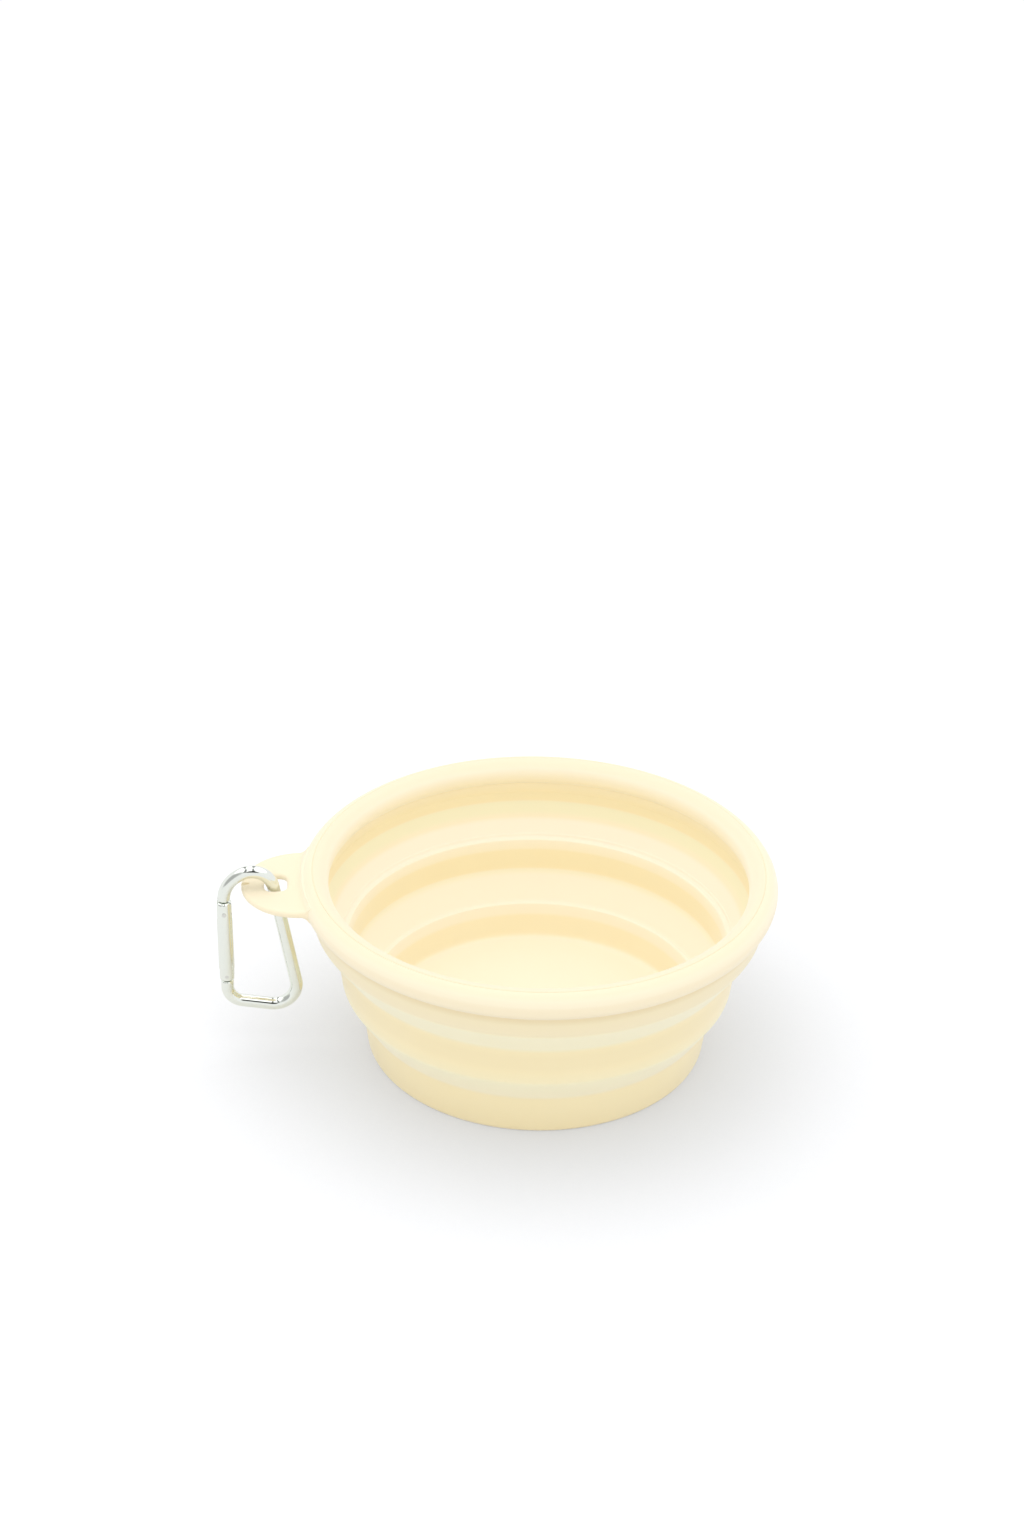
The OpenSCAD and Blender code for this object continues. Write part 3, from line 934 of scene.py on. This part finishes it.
@dataclass
class SnapClip:
    """The small snap clip: a bent rod, a gate on a hinge pin, and its latch."""

    QUARTER: ClassVar[np.ndarray] = np.radians([90, 65, 40, 15, 0])

    swing_r: float = 77.8
    swing_z: float = 50.1
    clip_side: float = 1.7
    rod_d: float = 3.5
    arc_r: float = 5.85
    shoulder_r: float = 8.85
    shoulder_angle: float = 66.4
    spine_slant: float = 10.0
    clip_drop: float = 36.75
    spine_corner_r: float = 6.25
    gate_corner_r: float = 4.7
    bottom_slant: float = 10.0
    gate_d: float = 4.3
    gate_gap: float = 0.3
    nose_h: float = 2.4
    hinge_drop: float = 3.6
    tongue_t: float = 1.6
    hook_t: float = 1.5
    hook_h: float = 3.4
    latch_rise: float = 2.0
    latch_pin_r: float = 0.5
    slot_gap: float = 0.12
    notch_gap: float = 0.15
    turn_gap: float = 0.2
    corner_room: float = 0.6
    cam_half_w: float = 1.3
    cam_depth: float = 1.7
    cam_room: float = 0.9
    tongue_bevel: float = 0.4
    hook_back: float = 1.3
    hook_room: float = 0.5
    hook_bevel: float = 0.8
    root_depth: float = 1.0
    bore_r: float = 1.2
    bore_depth: float = 11.2
    bore_over: float = 0.4
    overrun: float = 1.0
    end_round: float = 0.45
    gate_round: float = 0.75
    sides: int = 48

    def __post_init__(self) -> None:
        """Works out the rod's bends and the gate's heights, from the narrow end's centre."""
        a = radians(self.shoulder_angle)
        k = self.arc_r - self.shoulder_r
        self.shoulder_c = (k * cos(a), k * sin(a))
        self.gate_u = self.shoulder_c[0] + self.shoulder_r
        self.rod_end = self.shoulder_c[1]
        self.hinge_v = self.rod_end - self.hinge_drop
        s = radians(self.spine_slant)
        corner_v = self.spine_corner_r - self.clip_drop
        self.spine_c = ((corner_v * sin(s) - (self.arc_r - self.spine_corner_r)) / cos(s), corner_v)
        b, gate_c_u = radians(self.bottom_slant), self.gate_u - self.gate_corner_r
        rise = self.gate_corner_r - self.spine_corner_r + (gate_c_u - self.spine_c[0]) * sin(b)
        self.gate_c = (gate_c_u, corner_v + rise / cos(b))
        self.nose_v = self.gate_c[1] + self.nose_h
        self.aluminium = ALUMINIUM.build()
        self.steel = STEEL.build()

    def on_tab(self, flat: np.ndarray, off: np.ndarray) -> np.ndarray:
        """Places points of the clip's plane on the tab.

        Args:
            flat: distance outwards and height, from the narrow end's centre.
            off: distance out of the plane.

        Returns:
            x, y and z in millimetres.
        """
        return np.stack([-self.swing_r - flat[..., 0], off - self.clip_side, self.swing_z + flat[..., 1]], -1)

    def make_rod(self) -> None:
        """Makes the bent rod with its rounded ends, its hinge tongue and its latch hook."""
        bends = [
            (self.shoulder_c, self.shoulder_r, 0.0, self.shoulder_angle, 22),
            ((0.0, 0.0), self.arc_r, self.shoulder_angle, 180 - self.spine_slant, 34),
            (self.spine_c, self.spine_corner_r, 180 - self.spine_slant, 270 + self.bottom_slant, 34),
            (self.gate_c, self.gate_corner_r, 270 + self.bottom_slant, 360.0, 26),
        ]
        arcs = [arc_points(*bend) for bend in bends]
        turns = [np.linspace(start, end, steps + 1) for _, _, start, end, steps in bends]
        arcs[1], turns[1] = arcs[1][1:], turns[1][1:]  # its first point ends the bend before it
        points, turn = np.vstack(arcs)[2:], np.concatenate(turns)[2:]
        e, r, quarter = self.end_round, self.rod_d / 2, self.QUARTER
        across = np.full(len(quarter), self.gate_u)
        head = np.stack([across, self.rod_end + e - e * np.sin(quarter)], -1)
        tail = np.stack([across, self.nose_v - e + e * np.sin(quarter[::-1])], -1)
        taper = r - e + e * np.cos(quarter)
        centre = np.vstack([head[:1], head, points, tail, tail[-1:]])
        straight = np.zeros(len(quarter) + 1)
        angle = np.radians(np.concatenate([straight, turn, straight]))
        radius = np.concatenate([[0.0], taper, np.full(len(points), r), taper[::-1], [0.0]])
        shape = Shape("clip_rod")
        self.add_tube(shape, centre, radius, angle)
        self.add_plate(shape, self.tongue_outline(), self.tongue_t)
        self.add_plate(shape, self.hook_outline(), self.hook_t)
        piece = shape.finish()
        dress(piece, Body.CLIP, Slot.ALUMINIUM, self.aluminium, "clip_body")

    def add_tube(self, shape: Shape, centre: np.ndarray, radius: np.ndarray, angle: np.ndarray) -> None:
        """Adds circles carried along a line of the clip's plane.

        The point at t on a circle of the angle a goes to centre + radius cos t (cos a, sin a)
        in the plane, and radius sin t out of it.

        Args:
            shape: the shape to add to.
            centre: the circles' centres in the plane.
            radius: their radii.
            angle: their angles in radians.
        """
        t = np.linspace(0, 2 * np.pi, self.sides, endpoint=False)
        normal = np.stack([np.cos(angle), np.sin(angle)], -1)
        flat = centre[:, None] + (radius[:, None] * np.cos(t))[..., None] * normal[:, None]
        grid = self.on_tab(flat, radius[:, None] * np.sin(t))
        shape.add(grid.reshape(-1, 3), grid_faces(len(centre), self.sides, False, True))

    def add_plate(self, shape: Shape, outline: np.ndarray, thickness: float) -> None:
        """Adds a flat plate: its outline at half its thickness on each side of the clip's plane.

        Args:
            shape: the shape to add to.
            outline: its outline in the plane.
            thickness: its thickness.
        """
        n = len(outline)
        half = np.full(n, thickness / 2)
        points = np.vstack([self.on_tab(outline, -half), self.on_tab(outline, half)])
        sides = [[i, (i + 1) % n, n + (i + 1) % n, n + i] for i in range(n)]
        shape.add(points, [list(range(n))[::-1], [n + i for i in range(n)], *sides])

    def tongue_outline(self) -> np.ndarray:
        """Outline of the flat hinge tongue under the rod's upper end.

        Returns:
            Its corners.
        """
        w, inner = self.rod_d / 2 - self.slot_gap, self.gate_d / 2 - self.slot_gap
        c, d, top = self.cam_half_w, self.cam_depth, self.hinge_drop + self.root_depth
        step = self.hinge_drop - self.gate_gap
        left = [[-w, top], [-w, step], [-inner, step - self.tongue_bevel], [-inner, 0.0], [-w, -d / 3]]
        corners = np.array([[-c, -d], [c, -d], [w, -d / 3], [w, top], *left])
        return corners + np.array([self.gate_u, self.hinge_v])

    def hook_outline(self) -> np.ndarray:
        """Outline of the latch hook, with its notch open towards the spine.

        Returns:
            Its points.
        """
        back, w = -self.hook_back, self.rod_d / 2 - 2 * self.slot_gap
        low, high, bevel = -self.root_depth, self.hook_h, self.hook_bevel
        notch = self.latch_pin_r + self.notch_gap
        front = [[back, low], [w, low], [w, high - bevel], [w - bevel, high], [back, high]]
        round_end = arc_points((0.0, self.latch_rise), notch, 90, -90, 10)
        above, below = [[back, self.latch_rise + notch]], [[back, self.latch_rise - notch]]
        return np.vstack([front, above, round_end, below]) + np.array([self.gate_u, self.nose_v])

    def make_gate(self) -> None:
        """Makes the gate: a round bar with rounded ends, slotted for the tongue and hook."""
        r, e = self.gate_d / 2, self.gate_round
        low, high = self.nose_v + self.gate_gap, self.rod_end - self.gate_gap
        across, up = r - e + e * np.cos(self.QUARTER), e * np.sin(self.QUARTER) - e
        radius = np.concatenate([[0.0], across, across[::-1], [0.0]])
        height = np.concatenate([[low], low - up, (high + up)[::-1], [high]])
        level = 0 * height
        shape = Shape("clip_gate_bar")
        self.add_tube(shape, np.stack([level + self.gate_u, height], -1), radius, level)
        piece = shape.finish()
        slot_v = self.hinge_v - self.cam_depth - self.cam_room
        hook_v = self.nose_v + self.hook_h + self.hook_room
        cuts = [
            (self.slot_outline(slot_v, high + self.overrun), self.tongue_t + 2 * self.slot_gap),
            (self.slot_outline(low - self.overrun, hook_v), self.hook_t + 2 * self.slot_gap),
            (self.corner_outline(), 2 * self.gate_d),
        ]
        for i, (outline, thickness) in enumerate(cuts):
            cutter = Shape(f"cut_{i}")
            self.add_plate(cutter, outline, thickness)
            self.cut(piece, cutter.finish())
        bore, n, level = Shape("cut_bore"), self.sides, np.zeros(2)
        height = np.array([slot_v - self.bore_depth, slot_v + self.bore_over])
        self.add_tube(bore, np.stack([level + self.gate_u, height], -1), level + self.bore_r, level)
        bore.faces += [list(range(n)), list(range(n, 2 * n))]
        self.cut(piece, bore.finish())
        piece.data.set_sharp_from_angle(angle=SMOOTH_BELOW)
        dress(piece, Body.GATE, Slot.ALUMINIUM, self.aluminium, "clip_gate")

    def slot_outline(self, low: float, high: float) -> np.ndarray:
        """Rectangle right across the gate, between two heights.

        Args:
            low: its lower height.
            high: its upper height.

        Returns:
            Its corners.
        """
        left, right = self.gate_u - self.gate_d, self.gate_u + self.gate_d
        return np.array([[left, low], [right, low], [right, high], [left, high]])

    def corner_outline(self) -> np.ndarray:
        """What is cut off the gate's inner upper corner, round the hinge pin.

        Returns:
            Its points.
        """
        u, v, r = self.gate_u, self.hinge_v, self.hinge_drop - self.turn_gap
        left, top = u - r - self.corner_room, v + r + self.corner_room
        return np.vstack([[[u, top], [left, top], [left, v]], arc_points((u, v), r, 180, 90, 16)])

    @staticmethod
    def cut(piece: bpy.types.Object, cutter: bpy.types.Object) -> None:
        """Takes a cutter's solid out of a piece, and deletes the cutter.

        Args:
            piece: the piece to cut.
            cutter: the solid to take out.
        """
        modifier = piece.modifiers.new("cut", "BOOLEAN")
        modifier.operation = "DIFFERENCE"
        modifier.solver = "EXACT"
        modifier.object = cutter
        bpy.context.view_layer.update()
        result = bpy.data.meshes.new_from_object(piece.evaluated_get(bpy.context.evaluated_depsgraph_get()))
        piece.modifiers.clear()
        old, piece.data = piece.data, result
        result.name = piece.name
        bpy.data.meshes.remove(old)
        bpy.data.objects.remove(cutter)

    def build(self, nodes: dict[str, bpy.types.Object]) -> None:
        """Builds the rod and the gate, and finishes the frame's own pins.

        Args:
            nodes: the frame's nodes by name.
        """
        self.make_rod()
        self.make_gate()
        for name in ("hinge_pin", "latch_pin", "spring_plunger", "gate_spring"):
            node = nodes[name]
            node.data.materials.clear()
            node.data.materials.append(self.steel)
            LOG.info("%s: kept from the frame, plain steel", name)


# ---- studio


@dataclass(frozen=True)
class Ramp:
    """Straight change from one level to another.

    Attributes:
        start: where it starts.
        end: where it ends.
        before: level up to the start.
        after: level from the end on.
    """

    start: float
    end: float
    before: float
    after: float

    def inputs(self, value: bpy.types.NodeSocket) -> dict[str, object]:
        """Inputs that map a value by this ramp."""
        ends = {"From Min": self.start, "From Max": self.end, "To Min": self.before, "To Max": self.after}
        return {"Value": value, **ends}


@dataclass
class Studio:
    """Pale floor, soft light and the camera.

    Lengths are metres here, but for the camera's place and lens.
    """

    WHITE: ClassVar[Colour] = (1.0, 1.0, 1.0, 1.0)

    look_from: Triple = (-60.883, -579.264, 404.813)
    forward: Triple = (0.079858, 0.872478, -0.482083)
    up: Triple = (0.026136, 0.481627, 0.875986)
    lens_mm: float = 58.59
    sensor_mm: float = 36.0
    nearest: float = 0.01
    floor_half: float = 3.0
    floor_lit: Colour = (0.33, 0.34, 0.362, 1.0)
    # level, fall and leaning upright of the floor's painted shadow
    floor_open: float = 0.37
    floor_base: float = 0.37
    floor_fall: float = 1.8
    floor_lean: Triple = (-0.1, 0.12, 1.0)
    floor_reach: float = 0.25
    floor_far: Ramp = Ramp(0.2, 0.34, 0.0, 1.0)
    floor_white: float = 1.02
    floor_plain: Colour = (0.86, 0.86, 0.86, 1.0)
    room_level: Ramp = Ramp(0.3, 0.8, 0.92, 1.17)
    mirror_level: Ramp = Ramp(0.6, 0.66, 1.0, 1.7)
    gaps_stop: Ramp = Ramp(0.45, 0.55, 1.0, 0.0)
    # Darker patches: towards their middle, and the share of light left by the angle's cosine
    patches: tuple[tuple[Triple, Ramp], ...] = (
        ((0.03, -0.85, 0.526), Ramp(0.95, 0.98, 1.0, 0.08)),
        ((-0.78, -0.5, 0.37), Ramp(0.8, 0.95, 1.0, 0.5)),
    )
    # Narrow gaps between the lights: X of their middle, and the share left by the distance
    gaps: tuple[float, ...] = (-0.3, 0.1)
    gap_share: Ramp = Ramp(0.045, 0.0855, 0.15, 1.0)
    lamp_power: float = 0.8
    lamp_size: float = 0.7
    lamp_at: Triple = (-0.15, 0.15, 1.0)

    def make_camera(self) -> None:
        """Sets the camera: its axes are right, up and backwards."""
        camera = add_object("camera", bpy.data.cameras.new("camera"))
        camera.data.lens = self.lens_mm
        camera.data.sensor_width = self.sensor_mm
        camera.data.clip_start = self.nearest
        forward = Vector(self.forward).normalized()
        right = forward.cross(Vector(self.up)).normalized()
        axes = Matrix((right, right.cross(forward), -forward)).transposed()
        camera.matrix_world = Matrix.Translation(Vector(self.look_from) * MM) @ axes.to_4x4()
        bpy.context.scene.camera = camera

    def make_floor(self) -> None:
        """Lays a white floor with a painted shadow round the bowl, going plain white far from it.

        What the camera sees is part lit floor, a little bluer than white against the bowl's
        cream bounce light, and part a painted shadow: an emission, plain white where the floor
        is open to the sky, whose level is base + open * sky^fall, which darkens early and
        levels off near the foot. The sky is taken round a direction that leans a little, so
        the painted shadow lies off to one side.
        """
        material = bpy.data.materials.new("matt white floor")
        tree = empty_tree(material)
        seen = add_node(tree, "ShaderNodeLightPath").outputs["Is Camera Ray"]
        place = add_node(tree, "ShaderNodeTexCoord").outputs["Object"]
        away = add_node(tree, "ShaderNodeVectorMath", {0: place}, operation="LENGTH").outputs["Value"]
        far = add_node(tree, "ShaderNodeMapRange", self.floor_far.inputs(away))
        lit = add_node(tree, "ShaderNodeBsdfDiffuse", {"Color": self.floor_lit})
        lean = add_node(tree, "ShaderNodeVectorMath", {0: self.floor_lean}, operation="NORMALIZE")
        open_to = {"Distance": self.floor_reach, "Normal": lean.outputs[0]}
        # painted shadow: the floor's emission darkens with how closed in it is round the bowl
        sky = add_node(tree, "ShaderNodeAmbientOcclusion", open_to, samples=16)
        fall = add_node(tree, "ShaderNodeMath", {0: sky.outputs["AO"], 1: self.floor_fall}, operation="POWER")
        line = {0: fall.outputs[0], 1: self.floor_open, 2: self.floor_base}
        level = add_node(tree, "ShaderNodeMath", line, operation="MULTIPLY_ADD")
        painted_floor_shadow = add_node(tree, "ShaderNodeEmission", {"Color": self.WHITE, "Strength": level.outputs[0]})
        near = add_node(tree, "ShaderNodeAddShader", {0: lit.outputs[0], 1: painted_floor_shadow.outputs[0]})
        white = add_node(tree, "ShaderNodeEmission", {"Color": self.WHITE, "Strength": self.floor_white})
        plain = add_node(tree, "ShaderNodeBsdfDiffuse", {"Color": self.floor_plain})
        parts = {0: far.outputs["Result"], 1: near.outputs[0], 2: white.outputs[0]}
        shown = add_node(tree, "ShaderNodeMixShader", parts)
        both = add_node(tree, "ShaderNodeMixShader", {0: seen, 1: plain.outputs[0], 2: shown.outputs[0]})
        add_node(tree, "ShaderNodeOutputMaterial", {"Surface": both.outputs["Shader"]})
        h = self.floor_half
        mesh = bpy.data.meshes.new("floor")
        mesh.from_pydata([(-h, -h, 0), (h, -h, 0), (h, h, 0), (-h, h, 0)], [], [(0, 1, 2, 3)])
        mesh.materials.append(material)
        floor = add_object("floor", mesh)

    def mirrored(self, tree: bpy.types.NodeTree, toward: bpy.types.NodeSocket) -> bpy.types.NodeSocket:
        """Works out how bright the room is that the metal mirrors.

        It is brightest overhead. Patches and gaps each leave a share of the light.

        Args:
            tree: the world's node tree.
            toward: the direction looked in.

        Returns:
            The brightness.
        """
        across, _, height = add_node(tree, "ShaderNodeSeparateXYZ", {0: toward}).outputs
        level, low = (
            add_node(tree, "ShaderNodeMapRange", ramp.inputs(height)).outputs["Result"]
            for ramp in (self.mirror_level, self.gaps_stop)
        )
        shares = []
        for middle, ramp in self.patches:
            near = add_node(tree, "ShaderNodeVectorMath", {0: toward, 1: middle}, operation="DOT_PRODUCT")
            share = add_node(tree, "ShaderNodeMapRange", ramp.inputs(near.outputs["Value"]))
            shares.append(share.outputs["Result"])
        for middle in self.gaps:
            off = add_node(tree, "ShaderNodeMath", {0: across, 1: middle}, operation="SUBTRACT")
            away = add_node(tree, "ShaderNodeMath", {0: off.outputs[0]}, operation="ABSOLUTE")
            dark = add_node(tree, "ShaderNodeMapRange", self.gap_share.inputs(away.outputs[0]))
            share = add_node(tree, "ShaderNodeMath", {0: dark.outputs["Result"], 1: low}, operation="MAXIMUM")
            shares.append(share.outputs[0])
        for share in shares:
            level = add_node(tree, "ShaderNodeMath", {0: level, 1: share}, operation="MULTIPLY").outputs[0]
        return level

    def make_light(self) -> None:
        """Lights the bowl from a pale room, brighter higher up, and a weak soft lamp overhead.

        The camera sees plain white behind the bowl, and the metal mirrors a room of its own.
        """
        world = bpy.data.worlds.new("pale room")
        tree = empty_tree(world)
        rays = add_node(tree, "ShaderNodeLightPath").outputs
        toward = add_node(tree, "ShaderNodeTexCoord").outputs["Generated"]
        height = add_node(tree, "ShaderNodeSeparateXYZ", {0: toward}).outputs["Z"]
        level = add_node(tree, "ShaderNodeMapRange", self.room_level.inputs(height)).outputs["Result"]
        room, mirror, white = (
            add_node(tree, "ShaderNodeBackground", {"Color": self.WHITE, "Strength": strength}).outputs[0]
            for strength in (level, self.mirrored(tree, toward), 1.0)
        )
        lit = add_node(tree, "ShaderNodeMixShader", {0: rays["Is Glossy Ray"], 1: room, 2: mirror})
        both = add_node(tree, "ShaderNodeMixShader", {0: rays["Is Camera Ray"], 1: lit.outputs[0], 2: white})
        add_node(tree, "ShaderNodeOutputWorld", {"Surface": both.outputs[0]})
        bpy.context.scene.world = world
        lamp = add_object("soft lamp overhead", bpy.data.lights.new("soft lamp overhead", "AREA"))
        lamp.data.shape = "DISK"
        lamp.data.size = self.lamp_size
        lamp.data.energy = self.lamp_power
        lamp.location = self.lamp_at
        lamp.rotation_euler = Vector(self.lamp_at).to_track_quat("Z", "Y").to_euler()

    def build(self) -> None:
        """Builds the camera, floor and light, and sets the plain view transform."""
        bpy.context.scene.view_settings.view_transform = "Standard"
        self.make_camera()
        self.make_floor()
        self.make_light()


def main() -> None:
    """Builds the bowl, the tab ring, the clip and the studio round the frame."""
    logging.basicConfig(level=logging.INFO, format="%(name)s: %(message)s")
    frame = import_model()
    Studio().build()
    wall = BowlWall()
    wall.build()
    TabRing(wall).build()
    SnapClip().build(frame["nodes"])


if __name__ == "__main__":
    main()
